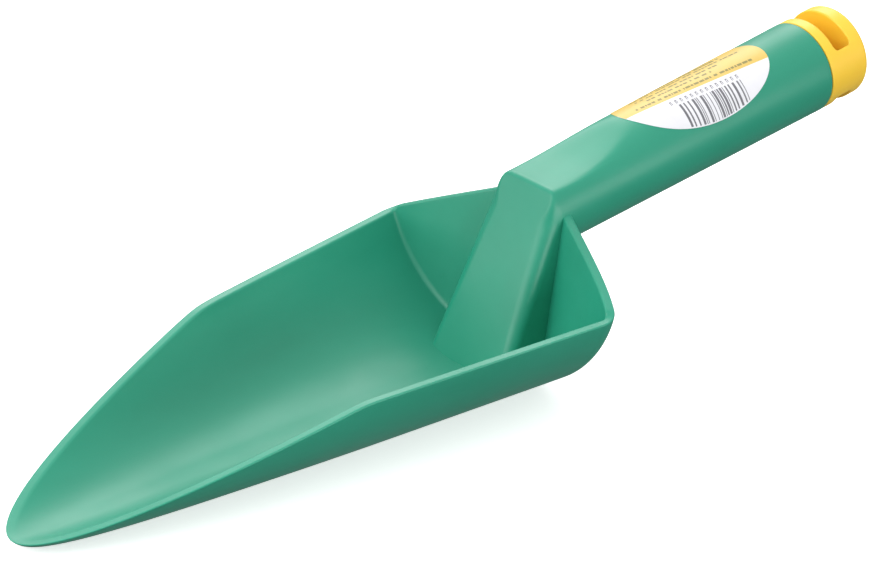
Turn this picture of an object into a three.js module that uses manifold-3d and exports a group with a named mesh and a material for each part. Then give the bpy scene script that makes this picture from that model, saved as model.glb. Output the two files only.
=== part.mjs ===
// Hand trowel: a one-piece plastic moulding of scoop, neck and hollow handle,
// a push-in end cap with a hang slot, and an oval label wrapped over the handle.
// Millimetres. X runs from the blade's tip to the handle's end, Y is to the left, Z is up,
// and the trowel rests on the flat keel of its blade.
import * as THREE from 'three';
import { mergeVertices } from 'three/addons/utils/BufferGeometryUtils.js';
import Module from 'manifold-3d';

const wasm = await Module();
wasm.setup();

// Blade, in plan. Its nose is a parabola and its flanks are straight.
const bladeLength = 176.7; // tip to the rear corners
const bladeHalfWidth = 50.4; // at the rear corners
const noseRadius = 8.4;
const flankSlope = 0.13; // widening of each flank per millimetre of length
const shoulderSoftness = 0.8; // rounds the bend between nose and flank
const keelFlat = 4.5; // half-width at the rear corners of the flat strip that it rests on

// Blade, heights of the rim above the keel
const tipHeight = 3.4;
const shoulderHeight = 30.4;
const cornerHeight = 33.9;
const rearRise = 21.7; // from the rear corners up to the middle of the rear wall

// Rear wall, in plan
const rearSweep = 0.33; // backward slope of each half of the rear wall
const cornerSweep = 3.4; // how far its ends turn in to meet the flanks
const cornerSweepPower = 6;
const cornerFillet = 4.5;

// Walls
const floorThickness = 3.2;
const rimWidth = 3;
const handleWall = 1.9;
const coreWall = 2.6; // around the pocket behind the neck

// Handle
const handleTilt = THREE.MathUtils.degToRad(8);
const handleLength = 120; // along its axis, from the neck's front face to the cap
const handleRadius = 15; // at the cap
const handleFrontRadius = 13.6; // at the neck
const gripHeight = 47.1; // of the axis where it meets the neck's front face
const gripSetback = 6.1; // of that point, behind the rear corners

// Neck
const neckLean = THREE.MathUtils.degToRad(65.6); // of its front face from the horizontal
const neckFlare = 0.072; // widening of each side per millimetre downwards
const neckEdgeTop = 5; // radius of the front face's side edges below the ridge
const neckEdgeFoot = 3.2; // and at the blade's floor
const ridgeEdge = 0.8;

// Thumb rest: a shallow arc pressed into the top of the handle behind the ridge
const thumbDrop = 4.5; // below the handle's surface at its lowest
const thumbStation = 13; // of its lowest point, behind the neck's front face
const thumbRadius = 92;

// End cap
const capLength = 17.2;
const capEdge = 2.6;
const capGap = 0.3;
const spigotLength = 17;
const spigotWall = 2;
const spigotClearance = 0.3;
const beadHeight = 0.5;
const beadStation = 13;
const slotStation = 4.3; // front of the slot, behind the joint
const slotWidth = 6.7;
const slotSpan = 24.8;
const slotCorner = 1;

// Bore of the handle
const boreDraft = 0.009; // narrowing per millimetre of depth
const coreRadius = 6.3; // of its narrow end under the thumb rest
const coreEnd = 9; // behind the neck's front face
const thumbEnd = 44; // where the thumb rest runs out
const beadWidth = 2;
const pocketGap = 0.5; // between the pocket behind the neck and the handle's underside

// Label
const labelLength = 57.6;
const labelWidth = 33.4; // along the curve
const labelStation = 46.7; // of its centre, ahead of the joint
const labelSkew = THREE.MathUtils.degToRad(5.2);
const labelThickness = 0.2;
const labelGap = 0.3;

// Fineness of the meshes
const flankRows = 26;
const arcSteps = 11;
const cornerRows = 3;
const rearRows = 3;
const archSteps = 10;
const legSteps = 5;
const footSteps = 4;
const edgeSteps = 3;
const blockRows = 3;
const gripRows = 14;
const roundSteps = 56;

const V = (x, y, z) => new THREE.Vector3(x, y, z);
const { lerp, smoothstep } = THREE.MathUtils;

// ---- solids -----------------------------------------------------------------------------

// Collects grids of points as triangles; points that coincide are merged, so patches that
// share an edge join up and a patch may run to a point.
class Skin {
  constructor() {
    this.positions = [];
  }

  triangle(a, b, c) {
    const area = b.clone().sub(a).cross(c.clone().sub(a)).length();
    if (area > 1e-7) this.positions.push(...a.toArray(), ...b.toArray(), ...c.toArray());
  }

  grid(rows, flip = false) {
    for (let i = 0; i + 1 < rows.length; i++) {
      for (let j = 0; j + 1 < rows[i].length; j++) {
        const [a, b, c, d] = [rows[i][j], rows[i + 1][j], rows[i + 1][j + 1], rows[i][j + 1]];
        if (flip) {
          this.triangle(a, c, b);
          this.triangle(a, d, c);
        } else {
          this.triangle(a, b, c);
          this.triangle(a, c, d);
        }
      }
    }
  }

  geometry() {
    const raw = new THREE.BufferGeometry();
    raw.setAttribute('position', new THREE.Float32BufferAttribute(this.positions, 3));
    return mergeVertices(raw, 1e-4);
  }
}

function toSolid(geometry) {
  const bare = geometry.clone();
  for (const name of Object.keys(bare.attributes)) {
    if (name !== 'position') bare.deleteAttribute(name);
  }
  const merged = mergeVertices(bare, 1e-4);
  return new wasm.Manifold(new wasm.Mesh({
    numProp: 3,
    vertProperties: merged.attributes.position.array,
    triVerts: Uint32Array.from(merged.index.array),
  }));
}

function toGeometry(solid) {
  const mesh = solid.getMesh();
  const geometry = new THREE.BufferGeometry();
  geometry.setAttribute('position', new THREE.BufferAttribute(mesh.vertProperties, 3));
  geometry.setIndex(new THREE.BufferAttribute(mesh.triVerts, 1));
  geometry.computeVertexNormals();
  return geometry;
}

// Closed rings of equal count, skinned in order, with a flat fan at each end.
function loft(rings) {
  const hub = (ring) => {
    const centre = ring.reduce((sum, p) => sum.add(p), V(0, 0, 0)).divideScalar(ring.length);
    return ring.map(() => centre);
  };
  const rows = [hub(rings[0]), ...rings, hub(rings[rings.length - 1])];
  const skin = new Skin();
  skin.grid(rows.map((row) => [...row, row[0]]));
  return skin.geometry();
}

// A solid of revolution about +X, from a profile of [station, radius] pairs whose outer side
// runs towards +X.
function turned(profile) {
  const points = profile.map(([station, radius]) => new THREE.Vector2(radius, station));
  return new THREE.LatheGeometry(points, roundSteps).rotateZ(-Math.PI / 2);
}

const softMin = (a, b, k) => (a + b - Math.hypot(a - b, k)) / 2;

// ---- scoop ------------------------------------------------------------------------------

const noseHalfWidth = (x) => Math.sqrt(2 * noseRadius * x);
const flankHalfWidth = (x) => bladeHalfWidth - flankSlope * (bladeLength - x);

// Where the nose parabola meets the line of the flank.
function shoulderStation() {
  const start = bladeHalfWidth - flankSlope * bladeLength;
  const b = noseRadius - flankSlope * start;
  return (b - Math.sqrt(b * b - (flankSlope * start) ** 2)) / flankSlope ** 2;
}

const shoulder = shoulderStation();

function halfWidth(x) {
  return softMin(noseHalfWidth(x), flankHalfWidth(x), x > 0 ? shoulderSoftness : 0);
}

// Each cross-section stands square to the rim, on the keel this far behind the rim's point.
function keelOffset(x) {
  const blend = smoothstep(x, shoulder * 0.7, shoulder * 1.3);
  return lerp(noseRadius, flankSlope * halfWidth(x), blend);
}

function rimHeight(x) {
  const nose = tipHeight + ((shoulderHeight - tipHeight) * x) / shoulder;
  const along = (x - shoulder) / (bladeLength - shoulder);
  return softMin(nose, lerp(shoulderHeight, cornerHeight, along), shoulderSoftness);
}

// One side's cross-section at a rim station: half of the flat keel, then a circular arc up to
// the rim.
function section(x, inset, lift) {
  const keel = x + keelOffset(x);
  const reach = Math.hypot(keelOffset(x), halfWidth(x));
  const flat = (keelFlat * halfWidth(x)) / bladeHalfWidth;
  const run = reach - inset - flat;
  const rise = rimHeight(x) - lift;
  const radius = (run * run + rise * rise) / (2 * rise);
  const sweep = 2 * Math.atan2(rise, run);
  const points = [V(keel, 0, lift)];
  for (let j = 1; j <= arcSteps; j++) {
    const angle = (sweep * (j - 1)) / (arcSteps - 1);
    const out = (flat + radius * Math.sin(angle)) / reach;
    points.push(V(
      keel - keelOffset(x) * out,
      halfWidth(x) * out,
      lift + radius * (1 - Math.cos(angle)),
    ));
  }
  return points;
}

const rearCentre = bladeLength + rearSweep * bladeHalfWidth + cornerSweep;

// The rear wall's top edge, at a distance y from the middle.
function rearEdge(y, inset) {
  const share = y / bladeHalfWidth;
  const slope = rearSweep + (cornerSweepPower * cornerSweep * share ** (cornerSweepPower - 1))
    / bladeHalfWidth;
  const x = rearCentre - rearSweep * y - cornerSweep * share ** cornerSweepPower;
  return V(x - inset * Math.hypot(1, slope), y, cornerHeight + rearRise * (1 - share));
}

// Rim station at which a flank runs into the rear wall.
function cornerStation(inset, lift) {
  let low = bladeLength * 0.8;
  let high = bladeLength * 1.05;
  for (let pass = 0; pass < 40; pass++) {
    const middle = (low + high) / 2;
    const rim = section(middle, inset, lift)[arcSteps];
    if (rim.x < rearEdge(rim.y, inset).x) low = middle;
    else high = middle;
  }
  return (low + high) / 2;
}

// One half of the scoop's outer or inner face, as rows from the tip to the rear rim.
function scoopFace(inset, lift) {
  const corner = cornerStation(inset, lift);
  const flankEnd = corner - cornerFillet;
  const rows = [];
  for (let i = 0; i <= flankRows; i++) {
    rows.push(section(flankEnd * (i / flankRows) ** 1.6, inset, lift));
  }
  const crease = section(corner, inset, lift);
  const cornerPoint = crease[arcSteps];
  const firstY = cornerPoint.y - cornerFillet * 0.78;
  const tops = crease.map((p) => rearEdge((p.y * firstY) / cornerPoint.y, inset));
  const fillet = cornerPoint.distanceTo(tops[arcSteps]);
  const starts = crease.map((p, j) => p.clone().lerp(tops[j], fillet / p.distanceTo(tops[j])));
  const flank = rows[flankRows];
  for (let k = 1; k <= cornerRows; k++) {
    const t = k / cornerRows;
    rows.push(crease.map((p, j) => flank[j].clone().multiplyScalar((1 - t) ** 2)
      .addScaledVector(p, 2 * t * (1 - t))
      .addScaledVector(starts[j], t * t)));
  }
  for (let k = 1; k <= rearRows; k++) {
    rows.push(starts.map((p, j) => p.clone().lerp(tops[j], k / rearRows)));
  }
  return rows;
}

// The open edge of a face: along the flank, round the corner and in to the middle.
function openEdge(rows) {
  const flank = rows.map((row) => row[arcSteps]);
  const rear = [...rows[rows.length - 1]].reverse();
  return [...flank, ...rear];
}

function scoop() {
  const outer = scoopFace(0, 0);
  const inner = scoopFace(rimWidth, floorThickness);
  const skin = new Skin();
  for (const side of [1, -1]) {
    const mirror = (rows) => rows.map((row) => row.map((p) => V(p.x, p.y * side, p.z)));
    const flip = side < 0;
    skin.grid(mirror(outer), !flip);
    skin.grid(mirror(inner), flip);
    skin.grid(mirror([openEdge(outer), openEdge(inner)]), flip);
  }
  return toSolid(skin.geometry());
}

// ---- neck and handle ----------------------------------------------------------------------

const gripStart = V(bladeLength + gripSetback, 0, gripHeight);
const tiltSlope = Math.tan(handleTilt);
const axis = V(Math.cos(handleTilt), 0, Math.sin(handleTilt));
const upward = V(-Math.sin(handleTilt), 0, Math.cos(handleTilt));
const jointCentre = gripStart.clone().addScaledVector(axis, handleLength);

const gripRadius = (along) => lerp(handleFrontRadius, handleRadius, along / handleLength);
const thumbLow = handleFrontRadius - thumbDrop;
const thumbHeight = (along) => thumbLow + (along - thumbStation) ** 2 / (2 * thumbRadius);
const gripTop = (along, angle) => Math.min(gripRadius(along) * Math.cos(angle), thumbHeight(along));

// A point of the handle's surface; angle 0 is the top.
function gripPoint(along, angle) {
  return V(0, gripRadius(along) * Math.sin(angle), 0)
    .add(gripStart)
    .addScaledVector(axis, along)
    .addScaledVector(upward, gripTop(along, angle));
}

// The neck's flat front face: its station at a height, and where the handle's surface meets it.
const faceStation = (z) => gripStart.x + (z - gripStart.z) / Math.tan(neckLean);
const faceSlope = 1 / Math.tan(neckLean - handleTilt);

function faceAlong(angle) {
  let along = 0;
  for (let pass = 0; pass < 8; pass++) along = faceSlope * gripTop(along, angle);
  return along;
}

// The middle of the rear wall's thickness, as a station at a height and a distance from the
// middle plane.
const innerCorner = cornerStation(rimWidth, floorThickness);
const wallFoot = (bladeLength + innerCorner) / 2 + keelOffset(bladeLength);
const wallTop = rearEdge(0, rimWidth / 2);
const wallSlope = (wallTop.x - wallFoot) / wallTop.z;
const wallStation = (y, z) => wallFoot + wallSlope * z
  - lerp(flankSlope, rearSweep, z / wallTop.z) * Math.abs(y);

// The middle of the floor's thickness at the neck, as a height across the blade.
const floorRun = bladeHalfWidth - rimWidth / 2 - keelFlat;
const floorRise = cornerHeight - floorThickness / 2;
const floorRadius = (floorRun ** 2 + floorRise ** 2) / (2 * floorRise);
const floorMiddle = (y) => floorThickness / 2
  + Math.max(0, y - keelFlat) ** 2 / (2 * floorRadius);

// Half of the neck's outline: over the ridge, round the handle's side, down the leg and in
// along the foot. `edge` is the radius of the front edge at a point. `angle` is set where the
// outline follows the handle, and `follow` says how much of its tilt a line to the rear keeps.
function neckOutline() {
  const outline = [];
  const ridgeAngle = Math.acos(gripTop(faceAlong(0), 0) / gripRadius(faceAlong(0)));
  const ridgeSteps = 3;
  const sideSteps = archSteps - ridgeSteps;
  for (let k = -ridgeSteps; k <= sideSteps; k++) {
    const angle = k < 0
      ? ridgeAngle * (1 + k / ridgeSteps)
      : lerp(ridgeAngle, Math.PI / 2, k / sideSteps);
    const edge = lerp(ridgeEdge, neckEdgeTop, smoothstep(k / sideSteps, 0, 0.5));
    outline.push({ point: gripPoint(faceAlong(angle), angle), edge, angle, follow: 1 });
  }
  const side = (z) => handleFrontRadius + neckFlare * (gripStart.z - z);
  const footHalfWidth = side(floorThickness);
  const footHeight = floorMiddle(footHalfWidth);
  for (let k = 1; k <= legSteps; k++) {
    const t = k / legSteps;
    const z = lerp(gripStart.z, footHeight, t);
    const y = lerp(handleFrontRadius, footHalfWidth, t);
    const edge = lerp(neckEdgeTop, neckEdgeFoot, t);
    outline.push({ point: V(faceStation(z), y, z), edge, follow: 1 - t });
  }
  for (let k = 1; k <= footSteps; k++) {
    const y = footHalfWidth * (1 - k / footSteps);
    const z = floorMiddle(y);
    outline.push({ point: V(faceStation(z), y, z), edge: ridgeEdge, follow: 0 });
  }
  return outline;
}

// A ring of points round the whole outline, from its right half.
function mirrorRing(half) {
  const left = half.slice(1, -1).reverse().map((p) => V(p.x, -p.y, p.z));
  return [...half, ...left];
}

// Neck and handle as one loft: the flat front face, its rounded edge, the neck back to the
// middle of the rear wall, and the round handle from there to the joint with the cap.
function stem() {
  const outline = neckOutline();
  const last = outline.length - 1;
  const faceNormal = V(-Math.sin(neckLean), 0, Math.cos(neckLean));
  const backward = (entry, depth) => V(depth, 0, depth * entry.follow * tiltSlope);
  const inward = outline.map(({ point }, q) => {
    const before = q > 0 ? outline[q - 1].point : outline[1].point.clone().multiply(V(1, -1, 1));
    const after = q < last ? outline[q + 1].point
      : outline[last - 1].point.clone().multiply(V(1, -1, 1));
    return faceNormal.clone().cross(after.clone().sub(before)).normalize();
  });
  const rings = [];
  for (let k = 0; k <= edgeSteps; k++) {
    const bend = (Math.PI / 2) * (k / edgeSteps);
    rings.push(outline.map((entry, q) => entry.point.clone()
      .addScaledVector(inward[q], entry.edge * (1 - Math.sin(bend)))
      .add(backward(entry, entry.edge * (1 - Math.cos(bend))))));
  }
  const toWall = ({ point, follow }) => (wallStation(point.y, point.z) - point.x)
    / (1 - wallSlope * follow * tiltSlope);
  for (let k = 1; k <= blockRows; k++) {
    rings.push(outline.map((entry) => {
      const depth = lerp(entry.edge, toWall(entry), k / blockRows);
      if (entry.angle === undefined) return entry.point.clone().add(backward(entry, depth));
      return gripPoint(faceAlong(entry.angle) + depth / axis.x, entry.angle);
    }));
  }
  const legCount = last - archSteps;
  const angles = outline.map(({ angle }, q) => angle
    ?? (Math.PI / 2) * (1 + (q - archSteps) / legCount));
  const wallStep = floorThickness / 4;
  const starts = angles.map((angle) => {
    const height = handleFrontRadius * Math.cos(angle);
    const z = gripStart.z + height * upward.z;
    const station = wallStation(handleFrontRadius * Math.sin(angle), z) + wallStep;
    return (station - gripStart.x - height * upward.x)
      / (axis.x - wallSlope * axis.z);
  });
  for (let k = 0; k <= gripRows; k++) {
    rings.push(angles.map((angle, q) => gripPoint(
      lerp(starts[q], handleLength, k / gripRows),
      angle,
    )));
  }
  return toSolid(loft(rings.map(mirrorRing)));
}

// Moves a piece drawn along X from the neck's front face onto the handle's axis.
const onGrip = (geometry) => geometry.rotateY(-handleTilt)
  .translate(gripStart.x, gripStart.y, gripStart.z);

// ---- hollows ------------------------------------------------------------------------------

const boreMouth = handleRadius - handleWall;
const boreRadius = (depth) => boreMouth - boreDraft * depth;

// The handle's bore: a drafted socket for the cap's spigot with a groove for its bead, then
// a narrow core under the thumb rest.
function bore() {
  const groove = beadHeight + spigotClearance;
  const at = (depth, extra = 0) => [handleLength - depth, boreRadius(depth) + extra];
  return toSolid(onGrip(turned([
    [coreEnd, 0],
    [coreEnd, coreRadius],
    [thumbEnd - boreMouth + coreRadius, coreRadius],
    at(handleLength - thumbEnd),
    at(beadStation + beadWidth),
    at(beadStation + beadWidth / 2, groove),
    at(beadStation - beadWidth / 2, groove),
    at(beadStation - beadWidth),
    at(0),
    [handleLength + 1, boreMouth],
    [handleLength + 1, 0],
  ])));
}

// The pocket behind the neck, open to the rear under the handle.
function pocket() {
  const floorLevel = floorThickness + coreWall;
  const roof = (x) => gripStart.z + (x - gripStart.x) * tiltSlope
    - (handleFrontRadius + pocketGap) / Math.cos(handleTilt);
  const front = (z) => faceStation(z) + coreWall / Math.sin(neckLean);
  let roofFront = front(gripStart.z - handleFrontRadius);
  for (let pass = 0; pass < 8; pass++) roofFront = front(roof(roofFront));
  const rear = rearCentre + 2;
  const profile = new THREE.Shape([
    new THREE.Vector2(front(floorLevel), floorLevel),
    new THREE.Vector2(rear, floorLevel),
    new THREE.Vector2(rear, roof(rear)),
    new THREE.Vector2(roofFront, roof(roofFront)),
  ]);
  const width = 2 * (handleFrontRadius - coreWall);
  const block = new THREE.ExtrudeGeometry(profile, { depth: width, bevelEnabled: false });
  return toSolid(block.rotateX(Math.PI / 2).translate(0, width / 2, 0));
}

// ---- end cap ------------------------------------------------------------------------------

// The cap in its own frame: X = 0 at the joint, along the handle's axis.
function endCap() {
  const spigot = (depth) => boreRadius(depth) - spigotClearance;
  const profile = [
    [slotStation - spigotWall, 0],
    [slotStation - spigotWall, boreMouth - spigotClearance - spigotWall],
    [-spigotLength, spigot(spigotLength) - spigotWall],
    [-spigotLength, spigot(spigotLength) - 1],
    [-spigotLength + 1, spigot(spigotLength)],
    [-beadStation - beadWidth / 2, spigot(beadStation)],
    [-beadStation, spigot(beadStation) + beadHeight],
    [-beadStation + beadWidth / 2, spigot(beadStation)],
    [capGap, spigot(0)],
    [capGap, handleRadius],
  ];
  const edgePoints = 5;
  for (let k = 0; k <= edgePoints; k++) {
    const angle = (Math.PI / 2) * (k / edgePoints);
    profile.push([
      capLength - capEdge * (1 - Math.sin(angle)),
      handleRadius - capEdge * (1 - Math.cos(angle)),
    ]);
  }
  profile.push([capLength, 0]);
  return toGeometry(toSolid(turned(profile)).subtract(hangSlot()));
}

function hangSlot() {
  const [low, high, side] = [slotStation, slotStation + slotWidth, slotSpan / 2];
  const outline = new THREE.Shape()
    .moveTo(low + slotCorner, -side)
    .lineTo(high - slotCorner, -side)
    .absarc(high - slotCorner, -side + slotCorner, slotCorner, -Math.PI / 2, 0)
    .lineTo(high, side - slotCorner)
    .absarc(high - slotCorner, side - slotCorner, slotCorner, 0, Math.PI / 2)
    .lineTo(low + slotCorner, side)
    .absarc(low + slotCorner, side - slotCorner, slotCorner, Math.PI / 2, Math.PI)
    .lineTo(low, -side + slotCorner)
    .absarc(low + slotCorner, -side + slotCorner, slotCorner, Math.PI, 1.5 * Math.PI);
  const depth = 2 * handleRadius + 4;
  const options = { depth, bevelEnabled: false, curveSegments: 4 };
  return toSolid(new THREE.ExtrudeGeometry(outline, options).translate(0, 0, -depth / 2));
}

// ---- label --------------------------------------------------------------------------------

// An oval sheet wrapped over the top of the handle, in the cap's frame.
function label() {
  const rings = 6;
  const around = 48;
  const face = (lift) => {
    const rows = [];
    for (let i = 0; i <= rings; i++) {
      const row = [];
      for (let k = 0; k <= around; k++) {
        const turn = (2 * Math.PI * (k % around)) / around;
        const long = (labelLength / 2) * (i / rings) * Math.cos(turn);
        const wide = (labelWidth / 2) * (i / rings) * Math.sin(turn);
        const x = long * Math.cos(labelSkew) - wide * Math.sin(labelSkew) - labelStation;
        const arc = long * Math.sin(labelSkew) + wide * Math.cos(labelSkew);
        const radius = gripRadius(handleLength + x);
        const angle = arc / radius;
        row.push(V(x, -(radius + lift) * Math.sin(angle), (radius + lift) * Math.cos(angle)));
      }
      rows.push(row);
    }
    return rows;
  };
  const under = face(labelGap);
  const over = face(labelGap + labelThickness);
  const skin = new Skin();
  skin.grid(under, false);
  skin.grid(over, true);
  skin.grid([under[rings], over[rings]], false);
  return toGeometry(toSolid(skin.geometry()));
}

// ---- assembly -----------------------------------------------------------------------------

const greenPlastic = new THREE.MeshStandardMaterial({
  color: 0x2f9576, roughness: 0.42, metalness: 0,
});
const yellowPlastic = new THREE.MeshStandardMaterial({
  color: 0xf7cf3d, roughness: 0.4, metalness: 0,
});
const labelPaper = new THREE.MeshStandardMaterial({
  color: 0xe9e6d8, roughness: 0.5, metalness: 0,
});

function piece(name, geometry, material) {
  const mesh = new THREE.Mesh(geometry, material);
  mesh.name = name;
  return mesh;
}

const moulding = scoop().add(stem()).subtract(bore()).subtract(pocket());
const body = piece('trowel_body', toGeometry(moulding), greenPlastic);

const grip = new THREE.Group();
grip.position.copy(jointCentre);
grip.rotation.y = -handleTilt;
grip.add(piece('end_cap', endCap(), yellowPlastic));
grip.add(piece('label', label(), labelPaper));

// The part's origin is under the middle of its length, on the surface it rests on.
const trowel = new THREE.Group();
trowel.add(body, grip);
trowel.updateMatrixWorld(true);
const extent = new THREE.Box3().setFromObject(trowel, true);
trowel.position.set(-(extent.min.x + extent.max.x) / 2, 0, -extent.min.z);

export default trowel;
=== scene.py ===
"""Hand trowel: detailed meshes, materials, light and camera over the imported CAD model.

Shapes are worked out in millimetres. The table frame has X from the blade's tip towards the
handle's end, Y to the left and Z up from the keel. The grip frame has X along the handle's
axis from the neck's front face, Y to the left and Z square to the axis, upwards.
"""
import math

import bmesh
import bpy
import numpy as np
from mathutils import Matrix, Vector


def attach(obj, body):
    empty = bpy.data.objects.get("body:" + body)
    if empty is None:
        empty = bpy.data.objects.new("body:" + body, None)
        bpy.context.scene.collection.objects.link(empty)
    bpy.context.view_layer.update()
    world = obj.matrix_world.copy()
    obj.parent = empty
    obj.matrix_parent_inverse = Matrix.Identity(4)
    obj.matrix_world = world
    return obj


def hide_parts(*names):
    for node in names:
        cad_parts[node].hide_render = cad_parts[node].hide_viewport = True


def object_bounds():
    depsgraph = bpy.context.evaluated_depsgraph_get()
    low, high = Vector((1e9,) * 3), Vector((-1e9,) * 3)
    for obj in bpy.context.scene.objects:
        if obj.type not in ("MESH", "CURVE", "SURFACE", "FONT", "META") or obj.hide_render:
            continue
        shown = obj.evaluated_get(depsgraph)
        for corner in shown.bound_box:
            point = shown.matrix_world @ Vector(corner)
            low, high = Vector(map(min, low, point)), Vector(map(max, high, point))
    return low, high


# Blade
BLADE_LENGTH = 176.7
BLADE_HALF_WIDTH = 50.4
NOSE_RADIUS = 8.4
FLANK_SLOPE = 0.13
SHOULDER_SOFTNESS = 0.8
TIP_HEIGHT = 3.4
SHOULDER_HEIGHT = 30.4
CORNER_HEIGHT = 33.9
REAR_RISE = 21.7
REAR_SWEEP = 0.33
CORNER_SWEEP = 3.4
CORNER_POWER = 6
CORNER_FILLET = 4.5
INNER_FILLET = 1.2
FLOOR_THICKNESS = 3.2
KEEL_FLAT = 4.5
RIM_WIDTH = 3.0
RIM_ROUND = 0.75

# Grid of the blade: steps across one side's section, and columns from the tip to the rear
KEEL_STEPS = 12
SECTION_STEPS = 240
FLANK_COLUMNS = 170
FILLET_COLUMNS = 14
REAR_COLUMNS = 69
COLUMN_POINTS = 64

# Handle and neck
TILT = math.radians(8)
HANDLE_LENGTH = 120.0
HANDLE_RADIUS = 15.0
FRONT_RADIUS = 13.6
GRIP_HEIGHT = 47.1
GRIP_SETBACK = 6.1
NECK_LEAN = math.radians(65.6)
NECK_FLARE = 0.072
EDGE_TOP = 5.0
EDGE_FOOT = 3.2
EDGE_RIDGE = 0.9
THUMB_LOW = FRONT_RADIUS - 4.5
THUMB_STATION = 13.0
THUMB_RADIUS = 92.0
THUMB_SOFTNESS = 1.1
CORE_WALL = 2.6
POCKET_ROUND = 1.2
POCKET_ROOF = 0.5

# Steps round the neck's outline: ridge, side of the handle, leg, foot
RIDGE_STEPS = 12
SIDE_STEPS = 40
LEG_STEPS = 40
FOOT_STEPS = 16

# Bore and cap
BORE_MOUTH = 12.9
BORE_DRAFT = 0.009
CORE_RADIUS = 6.3
CORE_END = 9.0
THUMB_END = 44.0
JOINT_LIP = 0.35
SPIGOT_LENGTH = 17.0
SPIGOT_WALL = 2.0
SPIGOT_CLEARANCE = 0.3
SPIGOT_CHAMFER = 1.0
BEAD_STATION = 13.0
BEAD_WIDTH = 2.0
BEAD_HEIGHT = 0.5
CAP_LENGTH = 17.2
CAP_EDGE = 2.6
CAP_GAP = 0.3
CAP_TRIM = 0.04  # keeps the fine surface inside the CAD model's box
SLOT_STATION = 4.3
SLOT_WIDTH = 6.7
SLOT_SPAN = 24.8
SLOT_CORNER = 1.2
SLOT_ROUND = 0.6
SLOT_FLARE = 0.6
SLOT_ABOVE = 2.0

# Label
LABEL_LENGTH = 57.6
LABEL_WIDTH = 33.4
LABEL_STATION = 46.7
LABEL_SKEW = math.radians(5.2)
LABEL_SPLIT = 3.7
FILM = 0.1
FILM_LIFT = 0.03
PRINT_LIFT = 0.05

WELD = 0.002

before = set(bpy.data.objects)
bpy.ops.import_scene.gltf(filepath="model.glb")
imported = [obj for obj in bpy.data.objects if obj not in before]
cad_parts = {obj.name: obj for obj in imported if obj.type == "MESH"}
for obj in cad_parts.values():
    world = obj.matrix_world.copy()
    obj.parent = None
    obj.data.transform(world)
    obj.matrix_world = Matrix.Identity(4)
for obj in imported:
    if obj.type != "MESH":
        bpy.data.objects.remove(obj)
box_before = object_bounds()
TIP_X = box_before[0].x * 1000


# ---- helpers ---------------------------------------------------------------------------

def soft_min(a, b, k):
    return (a + b - np.hypot(a - b, k)) / 2


def smoothstep(x, low, high):
    t = np.clip((x - low) / (high - low), 0, 1)
    return t * t * (3 - 2 * t)


def lerp(a, b, t):
    return a + (b - a) * t


def mesh_from_rows(name, rows, closed=False, mirror=False, caps=False):
    """A mesh over a grid of points in millimetres; coinciding points are welded."""
    points = np.array(rows, float)
    count, width = points.shape[:2]
    index = np.arange(count * width).reshape(count, width)
    if closed:
        index = np.concatenate([index, index[:, :1]], 1)
    quads = np.stack([index[:-1, :-1], index[1:, :-1], index[1:, 1:], index[:-1, 1:]], -1)
    faces = quads.reshape(-1, 4).tolist()
    flat = points.reshape(-1, 3)
    if caps:
        hubs = [points[0].mean(0), points[-1].mean(0)]
        flat = np.concatenate([flat, hubs])
        first, last = len(flat) - 2, len(flat) - 1
        for k in range(width):
            faces.append([first, int(index[0, k]), int(index[0, k + 1])])
            faces.append([last, int(index[-1, k + 1]), int(index[-1, k])])
    if mirror:
        offset = len(flat)
        faces += [[f + offset for f in reversed(face)] for face in faces]
        flat = np.concatenate([flat, flat * [1, -1, 1]])
    return mesh_from(name, flat, faces)


def mesh_from(name, points, faces, weld=WELD, owners=None):
    """A mesh of points in millimetres; owners are the faces' material numbers."""
    mesh = bpy.data.meshes.new(name)
    mesh.from_pydata([tuple(p) for p in points], [], faces)
    if owners is not None:
        mesh.polygons.foreach_set("material_index", owners)
    if weld:
        bm = bmesh.new()
        bm.from_mesh(mesh)
        bmesh.ops.remove_doubles(bm, verts=bm.verts, dist=weld)
        bmesh.ops.recalc_face_normals(bm, faces=bm.faces)
        bm.to_mesh(mesh)
        bm.free()
    return mesh


def add_object(name, mesh):
    obj = bpy.data.objects.new(name, mesh)
    bpy.context.scene.collection.objects.link(obj)
    return obj


def combine(name, first, operations):
    """A mesh made from the first by booleans, each an operation and another mesh."""
    obj = add_object(name, first)
    helpers = []
    for operation, mesh in operations:
        helper = add_object("helper", mesh)
        helpers.append(helper)
        modifier = obj.modifiers.new(operation, "BOOLEAN")
        modifier.operation = operation
        modifier.solver = "MANIFOLD"
        modifier.object = helper
    graph = bpy.context.evaluated_depsgraph_get()
    result = bpy.data.meshes.new_from_object(obj.evaluated_get(graph))
    for helper in helpers:
        bpy.data.objects.remove(helper)
    bpy.data.objects.remove(obj)
    result.materials.clear()
    return result


def finish_piece(name, mesh, materials, replaces=(), sharp=32):
    """Puts a mesh drawn in millimetres in the table frame into the scene as a piece."""
    mesh.transform(Matrix.Translation((TIP_X, 0, 0)))
    mesh.transform(Matrix.Scale(0.001, 4))
    mesh.name = name
    for material in materials:
        mesh.materials.append(material)
    mesh.polygons.foreach_set("use_smooth", [True] * len(mesh.polygons))
    mesh.set_sharp_from_angle(angle=math.radians(sharp))
    obj = add_object(name, mesh)
    weighted = obj.modifiers.new("weighted", "WEIGHTED_NORMAL")
    weighted.keep_sharp = True
    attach(obj, "root")
    if replaces:
        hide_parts(*replaces)
    return obj


# ---- scoop -----------------------------------------------------------------------------

def nose_half_width(x):
    return math.sqrt(2 * NOSE_RADIUS * x)


def flank_half_width(x):
    return BLADE_HALF_WIDTH - FLANK_SLOPE * (BLADE_LENGTH - x)


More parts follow.
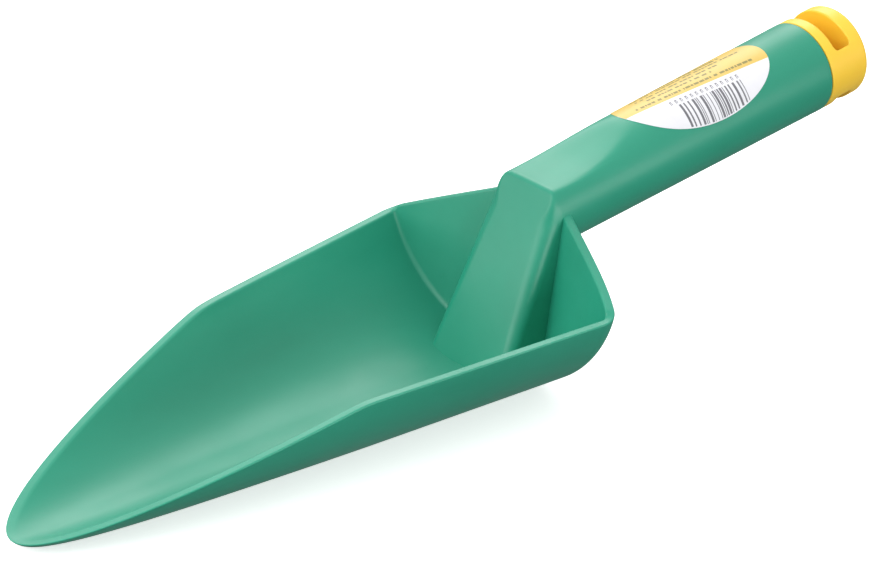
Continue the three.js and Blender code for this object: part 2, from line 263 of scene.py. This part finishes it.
def shoulder_station():
    start = BLADE_HALF_WIDTH - FLANK_SLOPE * BLADE_LENGTH
    b = NOSE_RADIUS - FLANK_SLOPE * start
    return (b - math.sqrt(b * b - (FLANK_SLOPE * start) ** 2)) / FLANK_SLOPE ** 2


SHOULDER = shoulder_station()


def half_width(x):
    if x <= 0:
        return 0.0
    return soft_min(nose_half_width(x), flank_half_width(x), SHOULDER_SOFTNESS)


def keel_offset(x):
    blend = smoothstep(x, SHOULDER * 0.7, SHOULDER * 1.3)
    return lerp(NOSE_RADIUS, FLANK_SLOPE * half_width(x), blend)


def rim_height(x):
    nose = TIP_HEIGHT + (SHOULDER_HEIGHT - TIP_HEIGHT) * x / SHOULDER
    along = (x - SHOULDER) / (BLADE_LENGTH - SHOULDER)
    return soft_min(nose, lerp(SHOULDER_HEIGHT, CORNER_HEIGHT, along), SHOULDER_SOFTNESS)


def section(x, inset, lift):
    """One side's cross-section: half of the flat keel, then an arc up to the rim."""
    offset = keel_offset(x)
    reach = math.hypot(offset, half_width(x))
    flat = KEEL_FLAT * half_width(x) / BLADE_HALF_WIDTH
    run = reach - inset - flat
    rise = rim_height(x) - lift
    radius = (run * run + rise * rise) / (2 * rise)
    angle = np.linspace(0, 2 * math.atan2(rise, run), SECTION_STEPS + 1)
    level = np.linspace(0, flat, KEEL_STEPS, endpoint=False)
    out = np.concatenate([level, flat + radius * np.sin(angle)]) / reach
    height = lift + np.concatenate([level * 0, radius * (1 - np.cos(angle))])
    return np.stack([x + offset - offset * out, half_width(x) * out, height], 1)


REAR_CENTRE = BLADE_LENGTH + REAR_SWEEP * BLADE_HALF_WIDTH + CORNER_SWEEP


def rear_height(y):
    return CORNER_HEIGHT + REAR_RISE * (1 - y / BLADE_HALF_WIDTH)


def rear_edge(y, inset):
    """Points of the rear wall's top edge at distances y from the middle."""
    share = y / BLADE_HALF_WIDTH
    turn = CORNER_POWER * CORNER_SWEEP * share ** (CORNER_POWER - 1) / BLADE_HALF_WIDTH
    x = REAR_CENTRE - REAR_SWEEP * y - CORNER_SWEEP * share ** CORNER_POWER
    return np.stack([x - inset * np.hypot(1, REAR_SWEEP + turn), y, rear_height(y)], -1)


def corner_station(inset, lift):
    low, high = BLADE_LENGTH * 0.8, BLADE_LENGTH * 1.05
    for _ in range(40):
        middle = (low + high) / 2
        rim = section(middle, inset, lift)[-1]
        if rim[0] < rear_edge(rim[1], inset)[0]:
            low = middle
        else:
            high = middle
    return (low + high) / 2


def scoop_columns(inset, lift, fillet_size):
    """Curves from the keel to the open edge, from the tip round to the rear wall's middle."""
    corner = corner_station(inset, lift)
    flank_end = corner - fillet_size
    columns = [section(flank_end * share ** 2, inset, lift)
               for share in np.linspace(0, 1, FLANK_COLUMNS + 1)]
    flank = columns[-1]
    crease = section(corner, inset, lift)
    first = crease[-1, 1] - fillet_size * 0.78
    ratio = first / crease[-1, 1]
    tops = rear_edge(crease[:, 1] * ratio, inset)
    fillet = np.linalg.norm(tops[-1] - crease[-1])
    reach = np.linalg.norm(tops - crease, axis=1)[:, None]
    starts = crease + (tops - crease) * fillet / reach
    for t in np.linspace(0, 1, FILLET_COLUMNS + 1)[1:]:
        columns.append(flank * (1 - t) ** 2 + crease * 2 * t * (1 - t) + starts * t * t)

    def wall_station(y, z):
        edge = y.copy()
        for _ in range(8):
            foot = np.interp(edge, crease[:, 1], crease[:, 2])
            top = np.interp(edge, crease[:, 1], tops[:, 2])
            share = np.clip((z - foot) / (top - foot), 0, 1)
            edge = y / (1 - share * (1 - ratio))
        foot_x = np.interp(edge, crease[:, 1], crease[:, 0])
        top_x = np.interp(edge, crease[:, 1], tops[:, 0])
        return lerp(foot_x, top_x, share)

    climb = (starts[:, 2] - starts[0, 2]) / (starts[-1, 2] - starts[0, 2])
    for inner in np.linspace(1, 0, REAR_COLUMNS + 1)[1:]:
        y = starts[:, 1] * inner
        z = starts[:, 2] + (rear_height(y[-1]) - starts[-1, 2]) * climb
        columns.append(np.stack([wall_station(y, z), y, z], 1))
    return columns


def cut_short(curve, trim):
    """The curve without its last stretch, at evenly spaced points."""
    length = np.concatenate([[0], np.cumsum(np.linalg.norm(np.diff(curve, axis=0), axis=1))])
    at = np.linspace(0, length[-1] - trim, COLUMN_POINTS)
    return np.stack([np.interp(at, length, curve[:, k]) for k in range(3)], 1)


def round_edge(start, corner, end, steps=5):
    t = np.linspace(0, 1, steps + 1)[1:-1, None]
    return start * (1 - t) ** 2 + corner * 2 * t * (1 - t) + end * t * t


def scoop_mesh():
    """The whole blade: outer face, rounded rim and inner face in one grid, mirrored."""
    rows = []
    outside = scoop_columns(0, 0, CORNER_FILLET)
    inside = scoop_columns(RIM_WIDTH, FLOOR_THICKNESS, INNER_FILLET)
    for outer, inner in zip(outside, inside):
        out_edge, in_edge = outer[-1], inner[-1]
        across = (in_edge - out_edge) / np.linalg.norm(in_edge - out_edge)
        out_column = cut_short(outer, RIM_ROUND)
        in_column = cut_short(inner, RIM_ROUND)
        out_start = out_edge + across * RIM_ROUND
        in_start = in_edge - across * RIM_ROUND
        flat = [lerp(out_start, in_start, t) for t in (0, 0.5, 1)]
        rows.append(np.concatenate([
            out_column,
            round_edge(out_column[-1], out_edge, out_start),
            flat,
            round_edge(in_start, in_edge, in_column[-1]),
            in_column[::-1],
        ]))
    return mesh_from_rows("scoop", rows, mirror=True)


# ---- neck and handle -------------------------------------------------------------------

GRIP_START = np.array([BLADE_LENGTH + GRIP_SETBACK, 0, GRIP_HEIGHT])
TILT_SLOPE = math.tan(TILT)
AXIS = np.array([math.cos(TILT), 0, math.sin(TILT)])
UPWARD = np.array([-math.sin(TILT), 0, math.cos(TILT)])
SIDE = np.array([0, 1.0, 0])


def grip_radius(along):
    return lerp(FRONT_RADIUS, HANDLE_RADIUS, along / HANDLE_LENGTH)


def thumb_height(along):
    return THUMB_LOW + (along - THUMB_STATION) ** 2 / (2 * THUMB_RADIUS)


def grip_top(along, angle):
    return soft_min(grip_radius(along) * np.cos(angle), thumb_height(along), THUMB_SOFTNESS)


def grip_point(along, angle, lift=0.0):
    """A point of the handle's surface, lifted off it; angle 0 is the top."""
    along = np.asarray(along, float)[..., None]
    angle = np.asarray(angle, float)[..., None]
    side = (grip_radius(along) + lift) * np.sin(angle)
    top = grip_top(along, angle) + lift * np.cos(angle)
    return GRIP_START + AXIS * along + SIDE * side + UPWARD * top


def face_station(z):
    return GRIP_START[0] + (z - GRIP_HEIGHT) / math.tan(NECK_LEAN)


def face_along(angle):
    slope = 1 / math.tan(NECK_LEAN - TILT)
    along = 0.0
    for _ in range(12):
        along = slope * grip_top(along, angle)
    return along


WALL_FOOT = (BLADE_LENGTH + corner_station(RIM_WIDTH, FLOOR_THICKNESS)) / 2 \
    + keel_offset(BLADE_LENGTH)
WALL_TOP = rear_edge(0.0, RIM_WIDTH / 2)
WALL_SLOPE = (WALL_TOP[0] - WALL_FOOT) / WALL_TOP[2]


def wall_middle(y, z):
    sweep = lerp(FLANK_SLOPE, REAR_SWEEP, z / WALL_TOP[2])
    return WALL_FOOT + WALL_SLOPE * z - sweep * np.abs(y)


def floor_middle(y):
    run = BLADE_HALF_WIDTH - RIM_WIDTH / 2 - KEEL_FLAT
    rise = CORNER_HEIGHT - FLOOR_THICKNESS / 2
    radius = (run ** 2 + rise ** 2) / (2 * rise)
    return FLOOR_THICKNESS / 2 + max(0, y - KEEL_FLAT) ** 2 / (2 * radius)


def neck_outline():
    """Half of the neck's outline: over the ridge, down the handle's side and leg, and in."""
    ridge = math.acos(grip_top(face_along(0.0), 0.0) / grip_radius(face_along(0.0)))
    points, edges, angles, follows = [], [], [], []
    on_ridge = np.linspace(0, ridge, RIDGE_STEPS, endpoint=False)
    on_side = np.linspace(ridge, math.pi / 2, SIDE_STEPS + 1)
    for angle in np.concatenate([on_ridge, on_side]):
        down = (angle - ridge) / (math.pi / 2 - ridge)
        points.append(grip_point(face_along(angle), angle))
        edges.append(lerp(EDGE_RIDGE, EDGE_TOP, smoothstep(down, 0.05, 1.0)))
        angles.append(angle)
        follows.append(1.0)
    foot_width = FRONT_RADIUS + NECK_FLARE * (GRIP_HEIGHT - FLOOR_THICKNESS)
    foot_height = floor_middle(foot_width)
    for t in np.linspace(0, 1, LEG_STEPS + 1)[1:]:
        z = lerp(GRIP_HEIGHT, foot_height, t)
        points.append(np.array([face_station(z), lerp(FRONT_RADIUS, foot_width, t), z]))
        edges.append(lerp(EDGE_TOP, EDGE_FOOT, t))
        angles.append(None)
        follows.append(1 - t)
    for t in np.linspace(1, 0, FOOT_STEPS + 1)[1:]:
        z = floor_middle(foot_width * t)
        points.append(np.array([face_station(z), foot_width * t, z]))
        edges.append(EDGE_FOOT)
        angles.append(None)
        follows.append(0.0)
    return np.array(points), np.array(edges), angles, np.array(follows)


def mirror_ring(half):
    return np.concatenate([half, half[-2:0:-1] * [1, -1, 1]])


def stem_mesh():
    """Neck and handle as one loft from the flat front face to the joint with the cap."""
    points, edges, angles, follows = neck_outline()
    normal = np.array([-math.sin(NECK_LEAN), 0, math.cos(NECK_LEAN)])
    padded = np.concatenate([points[1:2] * [1, -1, 1], points, points[-2:-1] * [1, -1, 1]])
    inward = np.cross(normal, padded[2:] - padded[:-2])
    inward /= np.linalg.norm(inward, axis=1)[:, None]
    foot = slice(int(np.argmax(points[:, 1])), None)
    inward[foot] = points[foot] * [0, -1, 0] / points[:, 1].max()

    def backward(depth):
        return np.stack([depth, depth * 0, depth * follows * TILT_SLOPE], 1)

    rings = []
    for bend in np.linspace(0, math.pi / 2, 10):
        pulled = points + inward * (edges * (1 - math.sin(bend)))[:, None]
        rings.append(pulled + backward(edges * (1 - math.cos(bend))))
    reach = (wall_middle(points[:, 1], points[:, 2]) - points[:, 0]) \
        / (1 - WALL_SLOPE * follows * TILT_SLOPE)
    for t in np.linspace(0, 1, 13)[1:]:
        depth = lerp(edges, reach, t)
        ring = points + backward(depth)
        for q, angle in enumerate(angles):
            if angle is not None:
                ring[q] = grip_point(face_along(angle) + depth[q] / AXIS[0], angle)
        rings.append(ring)
    on_grip = sum(angle is not None for angle in angles)
    below = len(angles) - on_grip
    around = np.array([
        angle if angle is not None else math.pi / 2 * (1 + (q - on_grip + 1) / below)
        for q, angle in enumerate(angles)
    ])
    height = FRONT_RADIUS * np.cos(around)
    z = GRIP_HEIGHT + height * UPWARD[2]
    station = wall_middle(FRONT_RADIUS * np.sin(around), z) + FLOOR_THICKNESS / 4
    start = (station - GRIP_START[0] - height * UPWARD[0]) \
        / (AXIS[0] - WALL_SLOPE * AXIS[2])
    for t in np.linspace(0, 1, 111):
        rings.append(grip_point(lerp(start, HANDLE_LENGTH - JOINT_LIP, t), around))
    for bend in np.linspace(0, math.pi / 2, 5)[1:]:
        along = np.full(len(around), HANDLE_LENGTH - JOINT_LIP * (1 - math.sin(bend)))
        rings.append(grip_point(along, around, -JOINT_LIP * (1 - math.cos(bend))))
    rows = [mirror_ring(ring) for ring in rings]
    return mesh_from_rows("stem", rows, closed=True, caps=True)


def turned(name, profile, steps=160):
    """A solid of revolution about the grip frame's X axis, in the table frame."""
    turn = np.linspace(0, 2 * math.pi, steps, endpoint=False)
    rows = []
    for station, radius in profile:
        ring = GRIP_START + AXIS * station + np.outer(np.sin(turn) * radius, SIDE) \
            + np.outer(np.cos(turn) * radius, UPWARD)
        rows.append(ring)
    return mesh_from_rows(name, rows, closed=True, caps=False)


def bore_radius(depth):
    return BORE_MOUTH - BORE_DRAFT * depth


def bore_mesh():
    """The handle's bore, with the groove for the spigot's bead."""
    def at(depth, extra=0.0):
        return HANDLE_LENGTH - depth, bore_radius(depth) + extra

    groove = BEAD_HEIGHT + SPIGOT_CLEARANCE
    return turned("bore", [
        (CORE_END, 0),
        (CORE_END, CORE_RADIUS - 1),
        (CORE_END + 1, CORE_RADIUS),
        (THUMB_END - BORE_MOUTH + CORE_RADIUS, CORE_RADIUS),
        at(HANDLE_LENGTH - THUMB_END),
        at(BEAD_STATION + BEAD_WIDTH),
        at(BEAD_STATION + BEAD_WIDTH / 2, groove),
        at(BEAD_STATION - BEAD_WIDTH / 2, groove),
        at(BEAD_STATION - BEAD_WIDTH),
        (HANDLE_LENGTH - 0.4, BORE_MOUTH),
        (HANDLE_LENGTH, BORE_MOUTH + 0.4),
        (HANDLE_LENGTH + 1, BORE_MOUTH + 0.4),
        (HANDLE_LENGTH + 1, 0),
    ])


def pocket_mesh():
    """The pocket behind the neck, open to the rear."""
    floor = FLOOR_THICKNESS + CORE_WALL
    width = FRONT_RADIUS - CORE_WALL

    def roof(x):
        return GRIP_HEIGHT + (x - GRIP_START[0]) * TILT_SLOPE \
            - (FRONT_RADIUS + POCKET_ROOF) / math.cos(TILT)

    def front(z):
        return face_station(z) + CORE_WALL / math.sin(NECK_LEAN)

    roof_front = front(GRIP_HEIGHT - FRONT_RADIUS)
    for _ in range(8):
        roof_front = front(roof(roof_front))
    rear = REAR_CENTRE + 6
    corners = [(front(floor), floor), (rear, floor), (rear, roof(rear)),
               (roof_front, roof(roof_front))]
    points = [(x, y, z) for y in (-width, width) for x, z in corners]
    faces = [[0, 1, 2, 3], [7, 6, 5, 4]]
    faces += [[k, k + 4, (k + 1) % 4 + 4, (k + 1) % 4] for k in range(4)]
    mesh = mesh_from("pocket", points, faces)
    bm = bmesh.new()
    bm.from_mesh(mesh)
    bmesh.ops.bevel(bm, geom=list(bm.edges), offset=POCKET_ROUND, segments=4, profile=0.5,
                    affect="EDGES")
    bm.to_mesh(mesh)
    bm.free()
    return mesh


# ---- cap -------------------------------------------------------------------------------

def cap_blank():
    """The cap before its slot is cut: the hollow spigot with its bead, and the head."""
    joint = HANDLE_LENGTH
    floor_station = joint + SLOT_STATION - SPIGOT_WALL

    def at(depth, extra=0.0):
        return joint - depth, bore_radius(depth) - SPIGOT_CLEARANCE + extra

    profile = [
        (floor_station, 0),
        (floor_station, at(0, -SPIGOT_WALL)[1]),
        at(SPIGOT_LENGTH, -SPIGOT_WALL),
        at(SPIGOT_LENGTH, -SPIGOT_CHAMFER),
        at(SPIGOT_LENGTH - SPIGOT_CHAMFER),
        at(BEAD_STATION + BEAD_WIDTH / 2),
        at(BEAD_STATION, BEAD_HEIGHT),
        at(BEAD_STATION - BEAD_WIDTH / 2),
        (joint + CAP_GAP, at(0)[1]),
    ]
    radius = HANDLE_RADIUS - CAP_TRIM
    end = joint + CAP_LENGTH - CAP_TRIM
    for bend in np.linspace(0, math.pi / 2, 5):
        profile.append((joint + CAP_GAP + JOINT_LIP * (1 - math.cos(bend)),
                        radius - JOINT_LIP * (1 - math.sin(bend))))
    for bend in np.linspace(0, math.pi / 2, 13):
        profile.append((end - CAP_EDGE * (1 - math.sin(bend)),
                        radius - CAP_EDGE * (1 - math.cos(bend))))
    profile.append((end, 0))
    return turned("cap", profile, 192)


def slot_cutter():
    """The hang slot, flared at both mouths so that its edges come out rounded."""
    low = HANDLE_LENGTH + SLOT_STATION
    centre = low + SLOT_WIDTH / 2
    half_x = SLOT_WIDTH / 2 - SLOT_CORNER
    half_y = SLOT_SPAN / 2 - SLOT_CORNER
    outline = []
    for side_x, side_y, first in ((1, 1, 0), (-1, 1, 1), (-1, -1, 2), (1, -1, 3)):
        for step in range(9):
            angle = math.pi / 2 * (first + step / 8)
            outline.append((side_x * half_x, math.cos(angle),
                            side_y * half_y, math.sin(angle)))
        if first % 2:
            for t in np.linspace(1, -1, 42)[1:-1]:
                outline.append((side_x * half_x, side_x, side_y * half_y * t, 0))
    outline = np.array(outline)

    def ring(flare, depth, up):
        """A ring at a depth below the cap's surface; with no depth, level above the cap."""
        radius = SLOT_CORNER + flare
        x = centre + outline[:, 0] + outline[:, 1] * radius
        y = outline[:, 2] + outline[:, 3] * radius
        if depth is None:
            height = np.full(len(y), HANDLE_RADIUS + SLOT_ABOVE)
        else:
            height = np.sqrt(np.maximum(HANDLE_RADIUS ** 2 - y ** 2, 9)) - depth
        return GRIP_START + np.outer(x, AXIS) + np.outer(y, SIDE) + np.outer(height * up, UPWARD)

    levels = [(SLOT_ROUND + SLOT_FLARE, None), (SLOT_ROUND + SLOT_FLARE, -SLOT_FLARE)]
    for bend in np.linspace(math.pi / 2, 0, 8):
        levels.append((SLOT_ROUND * (1 - math.cos(bend)), SLOT_ROUND * (1 - math.sin(bend))))
    rings = [ring(flare, depth, 1) for flare, depth in levels]
    rings += [ring(flare, depth, -1) for flare, depth in reversed(levels)]
    return mesh_from_rows("slot", rings, closed=True, caps=True)


# ---- label -----------------------------------------------------------------------------

def label_point(u, v, lift):
    """A point over the handle: u along the label, v across it, towards the right side."""
    x = u * math.cos(LABEL_SKEW) - v * math.sin(LABEL_SKEW)
    arc = u * math.sin(LABEL_SKEW) + v * math.cos(LABEL_SKEW)
    along = HANDLE_LENGTH - LABEL_STATION + x
    return grip_point(along, -arc / grip_radius(along), lift)


def label_reach(u):
    return LABEL_WIDTH / 2 * np.sqrt(np.maximum(0, 1 - (2 * u / LABEL_LENGTH) ** 2))


def label_mesh():
    """The film; faces above the split are the second material."""
    turn = np.linspace(0, math.pi, 97)
    us = -LABEL_LENGTH / 2 * np.cos(turn)
    above, below = 28, 20
    rows = []
    for u in us:
        reach = label_reach(u)
        split = min(max(LABEL_SPLIT, -reach), reach)
        vs = np.concatenate([np.linspace(-reach, split, above + 1),
                             np.linspace(split, reach, below + 1)[1:]])
        rows.append(vs)
    count = above + below + 1
    top, foot = [
        np.array([label_point(np.full(count, u), vs, lift) for u, vs in zip(us, rows)])
        for lift in (FILM + FILM_LIFT, 0.01)
    ]
    points = np.concatenate([top.reshape(-1, 3), foot.reshape(-1, 3)])
    index = np.arange(len(us) * count).reshape(len(us), count)
    lower = index + index.size
    faces, owners = [], []
    for i in range(len(us) - 1):
        for j in range(count - 1):
            owner = 1 if j < above else 0
            faces.append([index[i, j], index[i + 1, j], index[i + 1, j + 1], index[i, j + 1]])
            faces.append([lower[i, j + 1], lower[i + 1, j + 1], lower[i + 1, j], lower[i, j]])
            owners += [owner, owner]
    for i in range(len(us) - 1):
        for j, owner in ((0, 1), (count - 1, 0)):
            faces.append([index[i, j], index[i + 1, j], lower[i + 1, j], lower[i, j]])
            owners.append(owner)
    faces = [[int(k) for k in face] for face in faces]
    return mesh_from("label", points, faces, owners=owners)


def print_mesh():
    """Generic print: stripes over the lower part, rows of dashes over the upper part."""
    rng = np.random.default_rng(7)
    patches = []

    def patch(u0, u1, v0, v1, ink):
        across = max(1, int(math.ceil(abs(v1 - v0) / 0.5)))
        patches.append((u0, u1, v0, v1, across, ink))

    u = -10.4
    while u < 14.4:
        width = rng.choice([0.28, 0.28, 0.56, 0.84])
        foot = label_reach(max(abs(u), abs(u + width))) - 0.35
        patch(u, u + width, 7.1, foot, 0)
        u += width + rng.choice([0.38, 0.38, 0.76, 1.1])
    u = -12.6
    while u < 13.6:
        patch(u, u + 0.75, 5.0, 5.35, 0)
        patch(u, u + 0.22, 5.0, 6.5, 0)
        patch(u + 0.53, u + 0.75, 5.5, 6.3, 0)
        u += 2.0
    for row, start, end, height in ((1.6, -23, 23, 0.9), (-0.6, -17, 8, 0.8),
                                    (-2.6, -20, 12, 0.8), (-4.6, -21, 21, 0.8),
                                    (-7.0, -16, 16, 1.4), (-9.6, -14, 14, 1.4)):
        u = start
        while u < end:
            width = rng.uniform(0.5, 2.0)
            patch(u, u + width, row, row + height, 1)
            u += width + rng.choice([0.35, 0.35, 1.1])
    points, faces, inks = [], [], []
    for u0, u1, v0, v1, across, ink in patches:
        base = len(points)
        for v in np.linspace(v0, v1, across + 1):
            for u in (u0, u1):
                points.append(label_point(u, v, FILM + PRINT_LIFT))
        for k in range(across):
            q = base + 2 * k
            faces.append([q, q + 1, q + 3, q + 2])
            inks.append(ink)
    return mesh_from("print", points, faces, weld=0, owners=inks)


# ---- materials -------------------------------------------------------------------------

def new_material(name):
    material = bpy.data.materials.new(name)
    material.use_nodes = True
    tree = material.node_tree
    return material, tree, tree.nodes["Principled BSDF"]


def noise(tree, source, scale, detail=3.0, roughness=0.5):
    node = tree.nodes.new("ShaderNodeTexNoise")
    node.inputs["Scale"].default_value = scale
    node.inputs["Detail"].default_value = detail
    node.inputs["Roughness"].default_value = roughness
    tree.links.new(source, node.inputs["Vector"])
    return node.outputs["Fac"]


def spread(tree, value, low, high, start=0.3, end=0.7):
    node = tree.nodes.new("ShaderNodeMapRange")
    node.inputs["From Min"].default_value = start
    node.inputs["From Max"].default_value = end
    node.inputs["To Min"].default_value = low
    node.inputs["To Max"].default_value = high
    tree.links.new(value, node.inputs["Value"])
    return node.outputs["Result"]


def stretched(tree, scale):
    coordinates = tree.nodes.new("ShaderNodeTexCoord")
    mapping = tree.nodes.new("ShaderNodeMapping")
    mapping.inputs["Scale"].default_value = scale
    tree.links.new(coordinates.outputs["Object"], mapping.inputs["Vector"])
    return mapping.outputs["Vector"]


def bump(tree, height, distance, strength=1.0, normal=None):
    node = tree.nodes.new("ShaderNodeBump")
    node.inputs["Strength"].default_value = strength
    node.inputs["Distance"].default_value = distance
    tree.links.new(height, node.inputs["Height"])
    if normal is not None:
        tree.links.new(normal, node.inputs["Normal"])
    return node.outputs["Normal"]


def plastic(name, dark, light, roughness, specular, scatter):
    """Satin moulded plastic: slight flow in the colour, patchy gloss, fine texture."""
    material, tree, shader = new_material(name)
    flow = noise(tree, stretched(tree, (1, 3, 3)), 14, 4)
    cloud = noise(tree, stretched(tree, (1, 1, 1)), 45, 3)
    mix = tree.nodes.new("ShaderNodeMix")
    mix.data_type = "RGBA"
    mix.inputs["A"].default_value = (*dark, 1)
    mix.inputs["B"].default_value = (*light, 1)
    tree.links.new(spread(tree, flow, 0, 1), mix.inputs["Factor"])
    tree.links.new(mix.outputs["Result"], shader.inputs["Base Color"])
    tree.links.new(spread(tree, cloud, roughness - 0.04, roughness + 0.05),
                   shader.inputs["Roughness"])
    grain = noise(tree, stretched(tree, (1, 1, 1)), 2600, 2)
    waves = noise(tree, stretched(tree, (0.5, 1, 1)), 60, 2)
    normal = bump(tree, waves, 0.0004, 0.25)
    normal = bump(tree, grain, 0.00004, 0.35, normal)
    tree.links.new(normal, shader.inputs["Normal"])
    shader.inputs["Specular IOR Level"].default_value = specular
    shader.inputs["Subsurface Weight"].default_value = scatter
    shader.inputs["Subsurface Radius"].default_value = (0.4, 1.0, 0.7)
    shader.inputs["Subsurface Scale"].default_value = 0.0015
    return material


def film(name, colour, roughness):
    material, tree, shader = new_material(name)
    cloud = noise(tree, stretched(tree, (1, 1, 1)), 160, 4)
    shade = tree.nodes.new("ShaderNodeMix")
    shade.data_type = "RGBA"
    shade.inputs["A"].default_value = (*[c * 0.93 for c in colour], 1)
    shade.inputs["B"].default_value = (*colour, 1)
    tree.links.new(spread(tree, cloud, 0, 1), shade.inputs["Factor"])
    tree.links.new(shade.outputs["Result"], shader.inputs["Base Color"])
    tree.links.new(spread(tree, cloud, roughness - 0.04, roughness + 0.04),
                   shader.inputs["Roughness"])
    fibres = noise(tree, stretched(tree, (1, 1, 1)), 1500, 3)
    tree.links.new(bump(tree, fibres, 0.00003, 0.3), shader.inputs["Normal"])
    return material


green = plastic("green_plastic", (0.013, 0.262, 0.162), (0.020, 0.300, 0.190),
                0.40, 0.5, 0.08)
yellow = plastic("yellow_plastic", (0.93, 0.58, 0.040), (0.96, 0.63, 0.055),
                 0.38, 0.5, 0.15)
film_white = film("label_white", (0.80, 0.80, 0.84), 0.4)
film_yellow = film("label_yellow", (0.72, 0.50, 0.105), 0.4)
ink_dark = film("ink_grey", (0.16, 0.16, 0.18), 0.45)
ink_olive = film("ink_olive", (0.25, 0.22, 0.05), 0.45)

# ---- pieces ----------------------------------------------------------------------------

body = combine("body", scoop_mesh(), [
    ("UNION", stem_mesh()),
    ("DIFFERENCE", bore_mesh()),
    ("DIFFERENCE", pocket_mesh()),
])
finish_piece("scoop_and_handle", body, [green], ["trowel_body"])
cap = combine("cap", cap_blank(), [("DIFFERENCE", slot_cutter())])
finish_piece("handle_cap", cap, [yellow], ["end_cap"])
finish_piece("label_film", label_mesh(), [film_white, film_yellow], ["label"])
finish_piece("label_print", print_mesh(), [ink_dark, ink_olive])

# ---- floor, light and camera -----------------------------------------------------------

floor_mesh = bpy.data.meshes.new("floor")
floor_mesh.from_pydata([(-6, -6, 0), (6, -6, 0), (6, 6, 0), (-6, 6, 0)], [], [[0, 1, 2, 3]])
floor = add_object("floor", floor_mesh)
floor.location.z = box_before[0].z - 0.0002
floor_material, floor_tree, floor_shader = new_material("pale_floor")
floor_shader.inputs["Base Color"].default_value = (0.95, 0.95, 0.95, 1)
floor_shader.inputs["Roughness"].default_value = 0.9
floor_shader.inputs["Specular IOR Level"].default_value = 0.1
floor_shader.inputs["Emission Color"].default_value = (1, 1, 1, 1)
floor_shader.inputs["Emission Strength"].default_value = 0.6
floor_mesh.materials.append(floor_material)
floor.visible_diffuse = False
floor.visible_glossy = False

world = bpy.data.worlds.new("studio")
bpy.context.scene.world = world
world.use_nodes = True
sky = world.node_tree
direction = sky.nodes.new("ShaderNodeTexCoord")
upward = sky.nodes.new("ShaderNodeSeparateXYZ")
sky.links.new(direction.outputs["Generated"], upward.inputs["Vector"])
sky.links.new(spread(sky, upward.outputs["Z"], 0.22, 0.97, -0.15, 0.85),
              sky.nodes["Background"].inputs["Strength"])
sky.nodes["Background"].inputs["Color"].default_value = (1, 1, 1, 1)


def area_light(name, place, target, size, power):
    data = bpy.data.lights.new(name, "AREA")
    data.shape = "RECTANGLE"
    data.size, data.size_y = size
    data.energy = power
    lamp = bpy.data.objects.new(name, data)
    bpy.context.scene.collection.objects.link(lamp)
    lamp.location = place
    lamp.rotation_euler = (Vector(target) - Vector(place)).to_track_quat("-Z", "Y").to_euler()
    return lamp


area_light("key", (-1.2, 0.1, 1.0), (0, 0, 0), (1.0, 1.0), 10)
area_light("front", (-1.4, 0.6, 0.3), (0, 0, 0.04), (1.4, 0.7), 8)
area_light("fill", (0.1, -1.5, 0.1), (0, 0, 0.02), (1.8, 0.6), 19)
area_light("back", (0.7, 0.9, 0.9), (0, 0, 0), (1.2, 0.8), 11)

AZIMUTH, ELEVATION, ROLL = math.radians(-41.36), math.radians(26.24), math.radians(1.13)
AIM = Vector((-0.0073, 0.0021, 0.0334))
DISTANCE = 1.0035
backward = Vector((math.sin(AZIMUTH) * math.cos(ELEVATION),
                   -math.cos(AZIMUTH) * math.cos(ELEVATION), math.sin(ELEVATION)))
camera_data = bpy.data.cameras.new("camera")
camera_data.sensor_width = 36
camera_data.lens = 141.4
camera = bpy.data.objects.new("camera", camera_data)
bpy.context.scene.collection.objects.link(camera)
camera.matrix_world = Matrix.Translation(AIM + backward * DISTANCE) \
    @ backward.to_track_quat("Z", "Y").to_matrix().to_4x4() @ Matrix.Rotation(ROLL, 4, "Z")
bpy.context.scene.camera = camera
bpy.context.scene.view_settings.view_transform = "Standard"
